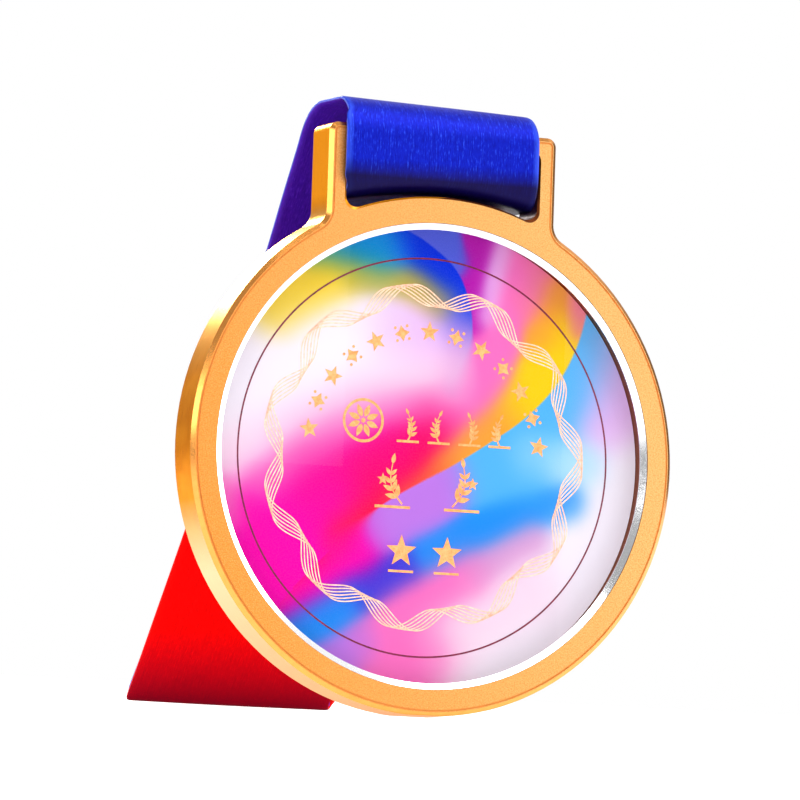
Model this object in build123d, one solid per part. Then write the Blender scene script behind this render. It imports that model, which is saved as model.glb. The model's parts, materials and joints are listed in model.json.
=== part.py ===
"""Crystal-insert finisher medal on a two-colour neck ribbon.

The medal stands on its rim and leans back on its ribbon, which drapes over
the crossbar and comes down behind it as an easel leg. What is left of the
neck loop is folded flat against the back of that leg and held by a tie.

Pieces are drawn with the medal lying face up: X across, Y up the medal,
Z out of its face, with the ring's centre at the origin. `stand` then sets
every piece upright: +Z up, the face towards -Y, and the floor at Z = 0.
"""
import math
import os

from build123d import *

# ---- driving dimensions, millimetres ----
RING_RADIUS = 32.5
THICKNESS = 6.0
BORE_RADIUS = 29.2
OUTER_CHAMFER = 0.5
FINE_CHAMFER = 0.25
GROOVE_START = 0.6        # fine groove between the chamfer and the blasted face
GROOVE_WIDTH = 0.22
GROOVE_DEPTH = 0.14
STANDING_FLAT_WIDTH = 5.0  # small flat under the rim that the medal stands on

LOOP_TOP = 41.0           # top of the crossbar above the ring's centre
POST_OUTER = 15.4         # half-width across the two posts
SLOT_HALF_WIDTH = 13.0
CROSSBAR_HEIGHT = 2.0
LOOP_CORNER = 1.2
POST_FLARE = 2.5
SLOT_CORNER = 1.4

REBATE_RADIUS = 30.3      # rebate in the back that takes the back plate
BACK_PLATE_RADIUS = 30.2
BACK_PLATE_THICKNESS = 2.1
ADHESIVE_THICKNESS = 0.15
PRINT_THICKNESS = 0.15
INSERT_RADIUS = 29.1
BEZEL_INNER_RADIUS = 28.4
BEZEL_DEPTH = 0.7
BEZEL_LIP = 0.15
BEZEL_TOP_GAP = 0.08      # the trim's outer edge lies just under the face

RIBBON_WIDTH = 25.4
RIBBON_THICKNESS = 0.45
LAYER_PITCH = 0.6         # from one ribbon layer to the next

LEAN = 2.8                # degrees that the medal leans back

# Ribbon route in the side view, as (Y up the medal, Z out of its face).
SLOT_RUN_HEIGHT = 33.2
FRONT_RUN = 0.7
TOP_RUN = 44.0
FOOT_DEPTH = -69.0        # the foot fold's place behind the medal's face
LEG_PASS_POINT = (27.4, -26.3)
RED_JOINS_LEG = 51.0      # up the leg from the foot

HANK_LENGTH = 58.0
HANK_LAYERS = 8
HANK_SHIFT = 4.2          # towards +X
HANK_FOOT_GAP = 12.0      # from the foot fold to the hank's lower end
TIE_WIDTH = 6.0
TIE_THICKNESS = 0.5
TIE_CLEARANCE = 0.15
STITCH_THICKNESS = 0.25

os.makedirs("parts", exist_ok=True)


# ---- placing ----
lean = math.radians(LEAN)
BACK_EDGE_CHAMFER = FINE_CHAMFER
flat_height = math.sqrt(RING_RADIUS**2 - (STANDING_FLAT_WIDTH / 2) ** 2)
flat_depth = RING_RADIUS - flat_height
# The flat's back edge, where it meets the chamfer, is the medal's lowest line.
lowest_depth = THICKNESS - BACK_EDGE_CHAMFER + flat_depth
ring_centre_height = flat_height * math.cos(lean) + lowest_depth * math.sin(lean)


def stand(shape, depth_shift=0.0):
    """Turn a lying piece upright, leaning back, and move it along Y."""
    upright = Location((0, depth_shift, ring_centre_height), (90 - LEAN, 0, 0))
    return shape.moved(upright)


def disc(radius, top, thickness):
    """A flat disc whose front face is at Z = top."""
    return Pos(0, 0, top - thickness / 2) * Cylinder(radius, thickness)


# ---- medal frame: ring, two posts and crossbar in one casting ----
def loop_outline():
    """Ring and ribbon loop seen from the front, without the slot."""
    bottom = RING_RADIUS * 0.5
    height = LOOP_TOP - bottom
    posts = Pos(0, bottom + height / 2) * Rectangle(2 * POST_OUTER, height)
    top_corners = posts.vertices().group_by(Axis.Y)[-1]
    posts = fillet(top_corners, LOOP_CORNER)
    outline = Circle(RING_RADIUS) + posts
    junctions = [
        v for v in outline.vertices()
        if abs(abs(v.X) - POST_OUTER) < 0.01 and v.Y < LOOP_TOP - 2 * LOOP_CORNER
    ]
    return fillet(junctions, POST_FLARE)


def slot_outline(grow=0.0):
    """The ribbon slot: flat top, straight sides, and the ring as its floor."""
    top = LOOP_TOP - CROSSBAR_HEIGHT + grow
    bottom = RING_RADIUS * 0.7
    height = top - bottom
    half_width = SLOT_HALF_WIDTH + grow
    box = Pos(0, bottom + height / 2) * Rectangle(2 * half_width, height)
    slot = box - Circle(RING_RADIUS - grow)
    return fillet(slot.vertices(), SLOT_CORNER)


def medal_frame():
    outline = loop_outline()
    body = extrude(outline, -THICKNESS)
    front = body.faces().sort_by(Axis.Z)[-1]
    body = chamfer(front.edges(), OUTER_CHAMFER)
    back = body.faces().sort_by(Axis.Z)[0]
    body = chamfer(back.edges(), BACK_EDGE_CHAMFER)

    slot = slot_outline()
    body -= Pos(0, 0, 1) * extrude(slot, -THICKNESS - 2)
    for face_height, side in ((0, 1), (-THICKNESS, -1)):
        flare = loft([
            Pos(0, 0, face_height) * slot_outline(FINE_CHAMFER),
            Pos(0, 0, face_height - side * FINE_CHAMFER) * slot,
        ])
        body -= flare

    groove_outer = offset(outline, -GROOVE_START)
    groove_inner = offset(outline, -GROOVE_START - GROOVE_WIDTH)
    groove = groove_outer - groove_inner
    body -= Pos(0, 0, 1) * extrude(groove, -GROOVE_DEPTH - 1)

    below_flat = Pos(0, -flat_height - 1, -THICKNESS / 2) * Box(20, 2, THICKNESS + 2)
    body -= below_flat

    body -= disc(BORE_RADIUS, 1, THICKNESS + 2)
    body -= disc(REBATE_RADIUS, -THICKNESS + BACK_PLATE_THICKNESS, BACK_PLATE_THICKNESS + 1)
    return body


# ---- the insert, from the front to the back ----
back_plate_front = -THICKNESS + BACK_PLATE_THICKNESS
adhesive_front = back_plate_front + ADHESIVE_THICKNESS
print_front = adhesive_front + PRINT_THICKNESS
crystal_front = -BEZEL_DEPTH
bezel_front = -BEZEL_TOP_GAP


def bezel_ring():
    """Bevelled trim ring, high at the bore and low at the crystal."""
    section = Polyline(
        (BEZEL_INNER_RADIUS, crystal_front),
        (BORE_RADIUS - 0.05, crystal_front),
        (BORE_RADIUS - 0.05, bezel_front),
        (BEZEL_INNER_RADIUS, crystal_front + BEZEL_LIP),
        close=True,
    )
    return revolve(make_face(Plane.XZ * section), Axis.Z)


def crystal_disc():
    blank = disc(INSERT_RADIUS, crystal_front - 0.01, crystal_front - 0.01 - print_front)
    return chamfer(blank.edges(), 0.15)


def back_plate():
    blank = disc(BACK_PLATE_RADIUS, back_plate_front, BACK_PLATE_THICKNESS)
    rim = blank.faces().sort_by(Axis.Z)[0].edges()
    return chamfer(rim, FINE_CHAMFER)


# ---- ribbon ----
# The red strap's fold is the outermost at the foot, and rests on the floor.
foot_height = (
    -ring_centre_height + RIBBON_THICKNESS / 2 + 0.1 - FOOT_DEPTH * math.sin(lean)
) / math.cos(lean)
FOOT = (foot_height, FOOT_DEPTH)

leg_drop = LEG_PASS_POINT[0] - FOOT[0]
leg_back = LEG_PASS_POINT[1] - FOOT[1]
leg_length = math.hypot(leg_drop, leg_back)
leg_down = (-leg_drop / leg_length, -leg_back / leg_length)
leg_out = (-leg_down[1], leg_down[0])     # square to the leg, to its outer side


def on_leg(up_from_foot, layer):
    """Side-view point beside the leg, a number of layers towards its back."""
    away = layer * LAYER_PITCH
    return (
        FOOT[0] - leg_down[0] * up_from_foot + leg_out[0] * away,
        FOOT[1] - leg_down[1] * up_from_foot + leg_out[1] * away,
    )


def strap(points, radii):
    """A flat strap of the ribbon's section along a rounded side-view route."""
    route = FilletPolyline(*[(0, y, z) for y, z in points], radius=radii)
    section = Plane(route @ 0, x_dir=(1, 0, 0), z_dir=route % 0)
    return sweep(section * Rectangle(RIBBON_WIDTH, RIBBON_THICKNESS), route)


hank_low = HANK_FOOT_GAP
hank_high = HANK_FOOT_GAP + HANK_LENGTH
leg_top_height = (TOP_RUN - FOOT[0]) / -leg_down[0]
SEAM_LAP = 5.0
seam_end = (29.6, -13.6)
seam_slope = (-0.80, -0.60)


def seam_point(along, layer):
    """Point along the lower seam, where the two straps lap and are sewn."""
    return (
        seam_end[0] + seam_slope[0] * along - seam_slope[1] * layer * LAYER_PITCH,
        seam_end[1] + seam_slope[1] * along + seam_slope[0] * layer * LAYER_PITCH,
    )


def ribbon_blue():
    points = [
        seam_point(SEAM_LAP, 0),
        (SLOT_RUN_HEIGHT, -10.8),
        (SLOT_RUN_HEIGHT, FRONT_RUN),
        (TOP_RUN, FRONT_RUN),
        on_leg(leg_top_height, 0),
        on_leg(0.5, 0),
        on_leg(0.5, 1),
        on_leg(hank_high, 1),
    ]
    return strap(points, [2.5, 3.0, 4.4, 9.0, 0.28, 0.28])


def ribbon_red():
    points = [
        seam_point(0, -1),
        seam_point(SEAM_LAP + 6.0, -1),
        on_leg(RED_JOINS_LEG, -1),
        on_leg(0, -1),
        on_leg(0, 2),
        on_leg(hank_high, 2),
    ]
    return strap(points, [20.0, 20.0, 0.8, 0.8])


def leg_plane(up_from_foot, layer):
    """Plane on the leg: X across the ribbon, Z to the leg's outer side."""
    y, z = on_leg(up_from_foot, layer)
    return Plane((0, y, z), x_dir=(1, 0, 0), z_dir=(0, leg_out[0], leg_out[1]))


def ribbon_hank():
    """Outer shape of the neck loop's folded rest, behind the leg."""
    depth = HANK_LAYERS * LAYER_PITCH
    middle = leg_plane((hank_low + hank_high) / 2, 2.5 + HANK_LAYERS / 2)
    block = Box(RIBBON_WIDTH, HANK_LENGTH, depth)
    ends = block.edges().filter_by(Axis.X)
    return middle * (Pos(HANK_SHIFT, 0, 0) * fillet(ends, depth * 0.45))


def hank_tie():
    """Narrow band round the leg and the hank."""
    inner_low = -1.5 * LAYER_PITCH - TIE_CLEARANCE
    inner_high = (2.5 + HANK_LAYERS) * LAYER_PITCH + TIE_CLEARANCE
    depth = inner_high - inner_low
    width = RIBBON_WIDTH + HANK_SHIFT + 2 * TIE_CLEARANCE
    middle = leg_plane((hank_low + hank_high) / 2, 0)
    wall = 2 * TIE_THICKNESS
    outer = Box(width + wall, TIE_WIDTH, depth + wall)
    outer = fillet(outer.edges().filter_by(Axis.Y), 0.9)
    inner = Box(width, TIE_WIDTH + 1, depth)
    inner = fillet(inner.edges().filter_by(Axis.Y), 0.4)
    return middle * (Pos(HANK_SHIFT / 2, 0, inner_low + depth / 2) * (outer - inner))


def seam_stitches():
    """Four bartacks, two on each face of the lapped straps."""
    tacks = []
    for along in (1.2, 3.8):
        for layer, side in ((-1.5, -1), (0.5, 1)):
            y, z = seam_point(along, layer + side * 0.35)
            slope = Plane(
                (0, y, z),
                x_dir=(1, 0, 0),
                z_dir=(0, -seam_slope[1], seam_slope[0]),
            )
            tacks.append(slope * Box(RIBBON_WIDTH - 3, 0.9, STITCH_THICKNESS))
    return Compound(children=tacks)


# ---- all nodes ----
nodes = {
    "medal_frame": medal_frame(),
    "bezel_ring": bezel_ring(),
    "crystal_disc": crystal_disc(),
    "artwork_print": disc(INSERT_RADIUS, print_front - 0.01, PRINT_THICKNESS - 0.02),
    "adhesive_disc": disc(INSERT_RADIUS - 0.3, adhesive_front - 0.01, ADHESIVE_THICKNESS - 0.02),
    "back_plate": back_plate(),
    "ribbon_blue": ribbon_blue(),
    "ribbon_red": ribbon_red(),
    "ribbon_hank": ribbon_hank(),
    "hank_tie": hank_tie(),
    "seam_stitches": seam_stitches(),
}

# The origin is on the floor under the middle of the whole object's depth.
standing = {name: stand(shape) for name, shape in nodes.items()}
whole = Compound(children=list(standing.values())).bounding_box()
depth_shift = -(whole.min.Y + whole.max.Y) / 2
print("floor at", round(whole.min.Z, 3), "depth shift", round(depth_shift, 3))

for name, shape in nodes.items():
    export_step(stand(shape, depth_shift), f"parts/{name}.step")
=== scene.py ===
"""Looks for the crystal-insert finisher medal and its two-colour neck ribbon.

Medal coordinates, in millimetres, are used for most shapes: u to the right,
v up the medal and w out of its face, with the ring's centre at zero.
"""
import json
import math

import bpy
import numpy as np
from mathutils import Matrix, Vector

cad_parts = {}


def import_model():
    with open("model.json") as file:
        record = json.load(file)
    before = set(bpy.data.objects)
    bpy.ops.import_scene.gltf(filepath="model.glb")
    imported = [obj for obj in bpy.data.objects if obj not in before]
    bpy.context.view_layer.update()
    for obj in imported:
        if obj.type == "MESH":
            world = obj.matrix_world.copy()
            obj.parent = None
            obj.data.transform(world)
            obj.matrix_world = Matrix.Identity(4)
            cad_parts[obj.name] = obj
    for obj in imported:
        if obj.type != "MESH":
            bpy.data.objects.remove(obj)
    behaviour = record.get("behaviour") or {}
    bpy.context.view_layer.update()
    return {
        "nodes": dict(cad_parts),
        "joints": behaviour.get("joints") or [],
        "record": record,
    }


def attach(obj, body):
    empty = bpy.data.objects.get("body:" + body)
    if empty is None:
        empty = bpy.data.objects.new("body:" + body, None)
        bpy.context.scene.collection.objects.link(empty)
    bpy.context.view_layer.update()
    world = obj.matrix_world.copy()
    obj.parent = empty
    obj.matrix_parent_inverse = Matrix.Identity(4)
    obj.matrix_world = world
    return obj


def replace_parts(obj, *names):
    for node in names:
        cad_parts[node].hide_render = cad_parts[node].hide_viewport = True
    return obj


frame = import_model()
nodes = frame["nodes"]
record = frame["record"]
scene = bpy.context.scene

MM = 0.001  # one millimetre in metres

# ---- the medal's own axes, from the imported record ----
mounts = {m["name"]: m for m in record["mounts"]}
back_axis = mounts["back_face"]["axis"]
LEAN = math.atan2(-back_axis[2], back_axis[1])
U_AXIS = np.array((1.0, 0.0, 0.0))
V_AXIS = np.array((0.0, math.sin(LEAN), math.cos(LEAN)))
W_AXIS = np.array((0.0, -math.cos(LEAN), math.sin(LEAN)))
bar_centre = np.array(frame["joints"][0]["pos_m"]) / MM
BAR_HEIGHT = 40.0  # the crossbar's axis over the ring's centre
BAR_DEPTH = -3.0
CENTRE = bar_centre - BAR_HEIGHT * V_AXIS - BAR_DEPTH * W_AXIS


def place(points):
    """Row-frame metres of points given in medal coordinates."""
    p = np.asarray(points, float).reshape(-1, 3)
    placed = CENTRE + p[:, :1] * U_AXIS + p[:, 1:2] * V_AXIS + p[:, 2:3] * W_AXIS
    return placed * MM


def to_medal(points):
    """Medal coordinates of row-frame points in metres."""
    d = np.asarray(points, float).reshape(-1, 3) / MM - CENTRE
    return np.stack([d @ U_AXIS, d @ V_AXIS, d @ W_AXIS], 1)


def srgb(r, g, b):
    """Linear colour of a display colour given as 0 to 255."""
    out = []
    for c in (r, g, b):
        c = c / 255
        out.append(c / 12.92 if c <= 0.04045 else ((c + 0.055) / 1.055) ** 2.4)
    return (*out, 1.0)


# ---- node helpers ----
class NodeTree:
    """Short calls for the nodes used here."""

    def __init__(self, tree):
        self.tree = tree

    def put(self, socket, value):
        if isinstance(value, bpy.types.NodeSocket):
            self.tree.links.new(value, socket)
        else:
            socket.default_value = value

    def node(self, kind, *inputs, **settings):
        n = self.tree.nodes.new("ShaderNode" + kind)
        for name, value in settings.items():
            setattr(n, name, value)
        for i, value in enumerate(inputs):
            if value is not None:
                self.put(n.inputs[i], value)
        return n

    def fill(self, node, **values):
        """Values or links for a node's inputs, by name."""
        for name, value in values.items():
            self.put(node.inputs[name.replace("_", " ")], value)
        return node

    def math(self, operation, *inputs, clamp=False):
        return self.node("Math", *inputs, operation=operation, use_clamp=clamp).outputs[0]

    def medal_space(self):
        """Medal coordinates, in millimetres."""
        row_place = self.node("TexCoord").outputs["Object"]
        mapping = self.node("Mapping", row_place, vector_type="TEXTURE")
        self.fill(mapping, Location=CENTRE * MM, Rotation=(math.pi / 2 - LEAN, 0, 0),
                  Scale=(MM, MM, MM))
        return mapping.outputs[0]

    def split(self, vector):
        return self.node("SeparateXYZ", vector).outputs

    def stretch(self, vector, scale):
        return self.fill(self.node("Mapping", vector), Scale=scale).outputs[0]

    def noise(self, vector, scale, detail=2.0, rough=0.5):
        n = self.node("TexNoise", vector)
        return self.fill(n, Scale=scale, Detail=detail, Roughness=rough).outputs[0]

    def spread(self, value, low, high, to_low=0.0, to_high=1.0):
        """Clamped linear map from low..high to to_low..to_high."""
        return self.node("MapRange", value, low, high, to_low, to_high).outputs[0]

    def swing(self, pattern, low=0.0, high=1.0):
        """The middle of a pattern's range, spread over low..high."""
        return self.spread(pattern, 0.3, 0.7, low, high)

    def mix(self, share, a, b, blend="MIX"):
        n = self.node("Mix", share, data_type="RGBA", blend_type=blend)
        self.put(n.inputs[6], a)
        self.put(n.inputs[7], b)
        return n.outputs[2]


class Shader(NodeTree):
    """A material and its Principled shader."""

    def __init__(self, name):
        self.material = bpy.data.materials.new(name)
        self.material.use_nodes = True
        super().__init__(self.material.node_tree)
        self.surface = self.tree.nodes["Principled BSDF"]
        self.output = self.tree.nodes["Material Output"]

    def set(self, **values):
        self.fill(self.surface, **values)

    def bump(self, height, distance, strength=1.0):
        """Relief from a height pattern; distance is in millimetres."""
        n = self.fill(self.node("Bump"), Strength=strength, Distance=distance * MM, Height=height)
        self.set(Normal=n.outputs[0])


# ---- metals ----
def gold_blasted():
    """Fine blasted grain, and painted light that makes it a little paler towards the upper right.
    """
    s = Shader("gold_blasted")
    p = s.medal_space()
    u, v, _ = s.split(p)
    grain = s.noise(p, 5.2, 2.0, 0.6)
    fine = s.noise(p, 9.0, 1.0, 0.5)
    # Painted light: the face grows paler towards the upper right.
    across = s.spread(s.math("ADD", u, s.math("MULTIPLY", v, 0.35)), -34.0, 30.0)
    painted_light_tone = s.mix(across, srgb(243, 160, 75), srgb(234, 183, 114))
    dark = s.mix(1.0, painted_light_tone, srgb(240, 218, 196), "MULTIPLY")
    colour = s.mix(s.spread(grain, 0.36, 0.6), dark, painted_light_tone)
    glint = s.spread(fine, 0.62, 0.72, 0.0, 0.4)
    colour = s.mix(glint, colour, srgb(255, 232, 176))
    s.set(Base_Color=colour, Metallic=1.0, Roughness=s.swing(grain, 0.52, 0.42))
    s.bump(grain, 0.02, 0.5)
    return s.material


def gold_polished():
    s = Shader("gold_polished")
    p = s.medal_space()
    wear = s.noise(p, 0.8, 3.0, 0.6)
    scratch = s.noise(s.stretch(p, (6.0, 6.0, 0.7)), 1.5, 2.0, 0.6)
    colour = s.mix(wear, srgb(222, 142, 66), srgb(238, 164, 84))
    s.set(Base_Color=colour, Metallic=1.0, Roughness=s.swing(scratch, 0.14, 0.24))
    s.bump(scratch, 0.004, 0.4)
    return s.material


def gold_satin():
    """The turned outer wall: fine lines run round, blotches vary it at random, and painted
    reflections change it with height: paler and pinker low down, paler on the shoulders, more
    orange high up beside the slot.
    """
    s = Shader("gold_satin")
    p = s.medal_space()
    lines = s.noise(s.stretch(p, (0.25, 0.25, 9.0)), 1.6, 3.0, 0.65)
    blotch = s.noise(p, 0.22, 2.0, 0.5)
    colour = s.mix(s.swing(lines), srgb(194, 104, 8), srgb(216, 124, 16))
    colour = s.mix(s.spread(blotch, 0.4, 0.75, 0.0, 0.4), colour, srgb(250, 166, 44))
    v = s.split(p)[1]
    # Painted reflections, set by height on the wall.
    painted_low_reflection = s.spread(v, -7.0, -16.0)
    painted_shoulder_reflection = s.math("MULTIPLY", s.spread(v, 8.0, 16.0), s.spread(v, 29.0, 31.0, 1.0, 0.0))
    painted_post_reflection = s.spread(v, 29.5, 32.0)
    colour = s.mix(painted_low_reflection, colour, srgb(246, 196, 164))
    colour = s.mix(painted_shoulder_reflection, colour, srgb(206, 152, 84))
    colour = s.mix(painted_post_reflection, colour, srgb(255, 158, 16))
    s.set(Base_Color=colour, Metallic=1.0, Roughness=s.swing(lines, 0.26, 0.38),
          Specular_Tint=srgb(255, 226, 180), Coat_Weight=0.08, Coat_Roughness=0.2)
    s.bump(lines, 0.012, 0.5)
    return s.material


def gold_groove():
    s = Shader("gold_groove")
    patch = s.noise(s.medal_space(), 1.4, 3.0, 0.6)
    colour = s.mix(patch, srgb(206, 132, 58), srgb(236, 164, 84))
    s.set(Base_Color=colour, Metallic=0.8, Roughness=s.swing(patch, 0.5, 0.7))
    return s.material


def turned_wall(name, line_density, low, high, smooth, rough):
    """An inner wall whose fine lines run round it."""
    s = Shader(name)
    lines = s.noise(s.stretch(s.medal_space(), (0.3, 0.3, line_density)), 1.4, 2.0, 0.6)
    s.set(Base_Color=s.mix(lines, low, high), Metallic=1.0,
          Roughness=s.swing(lines, smooth, rough))
    return s.material


def silver_trim():
    s = Shader("silver_trim")
    p = s.medal_space()
    lines = s.noise(p, 5.0, 2.0, 0.6)
    v = s.split(p)[1]
    colour = s.mix(lines, srgb(238, 239, 242), srgb(250, 250, 251))
    # Painted reflection: the trim turns greyer towards the top of the ring.
    colour = s.mix(s.spread(v, 14.0, 27.0, 0.0, 0.75), colour, srgb(206, 204, 216))
    s.set(Base_Color=colour, Metallic=1.0, Roughness=s.swing(lines, 0.1, 0.2))
    s.bump(lines, 0.003, 0.3)
    return s.material


def back_metal():
    """Back plate, spun: the brush marks are rings."""
    s = Shader("back_metal")
    p = s.medal_space()
    u, v, _ = s.split(p)
    square = s.math("ADD", s.math("MULTIPLY", u, u), s.math("MULTIPLY", v, v))
    radius = s.math("SQRT", square)
    angle = s.math("ARCTAN2", v, u)
    ring_place = s.node("CombineXYZ", s.math("MULTIPLY", radius, 6.0), angle, 0.0).outputs[0]
    rings = s.noise(ring_place, 1.1, 4.0, 0.7)
    colour = s.mix(s.swing(rings), srgb(222, 158, 76), srgb(250, 200, 118))
    s.set(Base_Color=colour, Metallic=1.0, Roughness=s.swing(rings, 0.26, 0.42))
    s.bump(rings, 0.01, 0.5)
    return s.material


def crystal():
    """Clear all through, with a mirror's gloss on its outer faces only."""
    s = Shader("crystal")
    clear = s.node("BsdfTransparent", (0.985, 0.99, 1.0, 1.0))
    gloss = s.fill(s.node("BsdfGlossy"), Color=(1, 1, 1, 1), Roughness=0.01)
    fresnel = s.fill(s.node("Fresnel"), IOR=1.5)
    inside = s.node("NewGeometry").outputs["Backfacing"]
    share = s.math("MULTIPLY", fresnel.outputs[0], s.math("SUBTRACT", 1.0, inside))
    both = s.node("MixShader", share, clear.outputs[0], gloss.outputs[0])
    s.tree.links.new(both.outputs[0], s.output.inputs["Surface"])
    s.tree.nodes.remove(s.surface)
    return s.material


def adhesive():
    s = Shader("adhesive")
    fibre = s.noise(s.medal_space(), 2.0, 4.0, 0.7)
    s.set(Base_Color=s.mix(fibre, srgb(228, 228, 222), srgb(244, 244, 240)), Roughness=0.7)
    s.bump(fibre, 0.02)
    return s.material


# ---- the medal's CAD nodes ----
def dress(node, *materials):
    mesh = nodes[node].data
    mesh.materials.clear()
    for material in materials:
        mesh.materials.append(material)
    return mesh


SLOT_SIDE = 13.2  # just outside the ribbon slot's walls
SLOT_LOW, SLOT_HIGH = 29.4, 39.2
SLOT_CHAMFER = 0.2
INNER_WALLS = 30.6  # just outside the back plate's rebate
GROOVE_WALL = (-0.15, 0.0)
GROOVE_FLOOR = (-0.2, -0.1)


def dress_frame():
    """Blasted faces, polished chamfers, satin outer wall, dark groove, and slot and bore painted
    dark brown as shade.
    """
    mesh = dress(
        "medal_frame", gold_blasted(), gold_polished(), gold_satin(), gold_groove(),
        # Painted shade: the bore and slot walls are dark brown for the shade in these recesses.
        turned_wall("gold_bore_painted_shade", 7.0, srgb(104, 44, 12), srgb(170, 80, 22), 0.3, 0.5),
        turned_wall("slot_wall_painted_shade", 6.0, srgb(56, 22, 12), srgb(104, 52, 20), 0.45, 0.6))
    blasted, polished, satin, groove, bore, slot = range(6)
    axes = np.stack([U_AXIS, V_AXIS, W_AXIS])
    for face in mesh.polygons:
        u, v, w = to_medal(face.center)[0]
        n = axes @ np.array(face.normal)
        inward = n[0] * u + n[1] * v < 0
        is_wall, is_flat = abs(n[2]) < 0.3, abs(n[2]) >= 0.95
        margin = 0.0 if is_wall else SLOT_CHAMFER
        in_slot = abs(u) < SLOT_SIDE + margin and SLOT_LOW < v < SLOT_HIGH + margin
        if is_wall:
            if GROOVE_WALL[0] < w < GROOVE_WALL[1]:
                index = groove
            elif in_slot:
                index = slot
            elif math.hypot(u, v) < INNER_WALLS and inward:
                index = bore
            else:
                index = satin
        elif is_flat:
            index = groove if GROOVE_FLOOR[0] < w < GROOVE_FLOOR[1] else blasted
        # Painted shade: the slot's chamfers on the right take the dark slot colour.
        elif in_slot:
            index = satin if u < 0 else slot
        else:
            index = polished
        face.material_index = index


dress_frame()
dress("bezel_ring", silver_trim())
dress("crystal_disc", crystal())
dress("adhesive_disc", adhesive())
dress("back_plate", back_metal())


# ---- mesh helpers ----
def add_mesh(name, points, faces, materials, uv=None, smooth=True):
    """An object from row-frame points; uv is one pair for each point."""
    mesh = bpy.data.meshes.new(name)
    mesh.from_pydata([tuple(p) for p in points], [], faces)
    for m in materials:
        mesh.materials.append(m)
    if uv is not None:
        layer = mesh.uv_layers.new(name="UVMap")
        corners = np.zeros(len(mesh.loops), np.int32)
        mesh.loops.foreach_get("vertex_index", corners)
        layer.data.foreach_set("uv", np.asarray(uv, np.float32)[corners].ravel())
    mesh.polygons.foreach_set("use_smooth", [smooth] * len(mesh.polygons))
    mesh.update()
    o = bpy.data.objects.new(name, mesh)
    scene.collection.objects.link(o)
    return o


# ---- printed artwork ----
INSERT_RADIUS = 29.1
PRINT_FRONT = -3.61  # w of the print's face
CRYSTAL_FRONT = -0.7  # w of the crystal's face

INKS = {
    "white": (246, 236, 246), "blush": (250, 205, 228), "lilac": (232, 180, 238),
    "mauve": (216, 150, 206), "yellow": (250, 206, 20), "olive": (196, 172, 44),
    "orange": (248, 160, 56), "coral": (250, 96, 60),
    "red": (255, 30, 60), "crimson": (255, 0, 92), "pink": (255, 0, 138),
    "magenta": (248, 0, 170), "rose": (250, 112, 190), "purple": (182, 22, 170),
    "violet": (190, 120, 226), "indigo": (60, 60, 212), "blue": (0, 46, 220),
    "teal": (0, 150, 192), "azure": (28, 142, 240), "sky": (84, 180, 242),
    "ice": (170, 220, 246), "periwinkle": (84, 96, 218), "blossom": (246, 122, 158),
}

# Washes of ink: (colour, path, how far it reaches in mm). Left of the dome's edge,
# right of it, and below the sweep.
LEFT_WASHES = [
    ("white", [(-26, 5), (-17, 12), (-8, 13.5)], 4.4), ("lilac", [(-4, 15.5), (3, 15.5)], 2.6),
    ("mauve", [(3.6, 9), (5.2, 15.5)], 1.5), ("yellow", [(-20, 17.6), (-13.6, 22)], 2.1),
    ("olive", [(-10, 22.6), (-3, 21.8), (1.5, 19.6)], 1.4), ("teal", [(-15, 26), (-7, 24.8)], 1.7),
    ("azure", [(-10, 27), (-5, 25.6)], 1.6), ("blue", [(-2, 26.4), (2.6, 22.8), (5.2, 17.8)], 2.0),
    ("blush", [(-26, -1), (-14, 5), (-3, 10), (3, 11)], 2.2),
    ("rose", [(-21, -4), (-8, 5), (2, 6.6)], 1.8), ("pink", [(-14, -3), (-5, 0)], 3.4),
    ("crimson", [(-6, -3), (1, 3)], 2.6), ("magenta", [(-20, -9), (-11, -9), (-16, -17)], 3.8),
    ("red", [(-10, -9.6), (-5, -5.4)], 1.8), ("rose", [(-27, -6), (-26, -9)], 1.5),
    ("magenta", [(-25.5, -12.5), (-21, -19)], 2.0),
]
RIGHT_WASHES = [
    ("periwinkle", [(-2.4, 30), (1.4, 27.2), (3.8, 24.6)], 0.9),
    ("purple", [(7.6, 28), (6.3, 23), (6.3, 17.5)], 1.1),
    ("lilac", [(10.2, 28), (9.4, 25), (7.9, 18.4)], 1.0),
    ("rose", [(12.4, 27), (11, 19.5), (8.2, 13)], 1.7),
    ("blossom", [(14.8, 28), (15, 23.4), (13.8, 20.4)], 1.5),
    ("orange", [(17.4, 21.6), (15.8, 16.6)], 1.4),
    ("yellow", [(18.4, 16), (17.4, 12.4), (13.6, 6.8)], 2.0),
    ("orange", [(11.6, 4.8), (4, -0.4)], 1.8), ("coral", [(2, -1.5), (-4, -5.5)], 1.5),
    ("blossom", [(20.6, 22), (20.7, 17.6)], 1.0), ("rose", [(7, 10), (2, 5.6)], 2.2),
    ("crimson", [(0, 3), (-6, -4)], 2.2), ("red", [(-8, -8), (-11, -10.4)], 1.6),
]
LOWER_WASHES = [
    ("sky", [(25, 21), (20, 10), (13.5, 2.8)], 2.8), ("sky", [(8, -2), (14, -1.6)], 2.0),
    ("ice", [(15, 1), (22, 0.4)], 1.8), ("violet", [(4, -3), (0, -7), (-5, -9.6)], 1.6),
    ("azure", [(20, -4.4), (13, -6.6), (7, -9.6), (1, -12.2)], 1.5),
    ("indigo", [(-2, -14), (-7.6, -17)], 1.5), ("azure", [(-10, -18.8), (-17, -23)], 1.7),
    ("lilac", [(26.5, 15), (25, 6)], 2.4), ("white", [(28, -2), (21.5, -13), (12, -23.5)], 3.8),
    ("mauve", [(15, -9.6), (8, -13.6)], 1.6), ("rose", [(6, -14.6), (-1, -19), (-5, -23)], 2.2),
    ("blush", [(15, -16), (5, -22.5)], 2.6), ("violet", [(-7.4, -23.6), (-13, -26.4)], 1.5),
    ("magenta", [(-9, -12.4), (-20, -19)], 2.2), ("rose", [(-3, -26), (2, -24)], 2.0),
]
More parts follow.
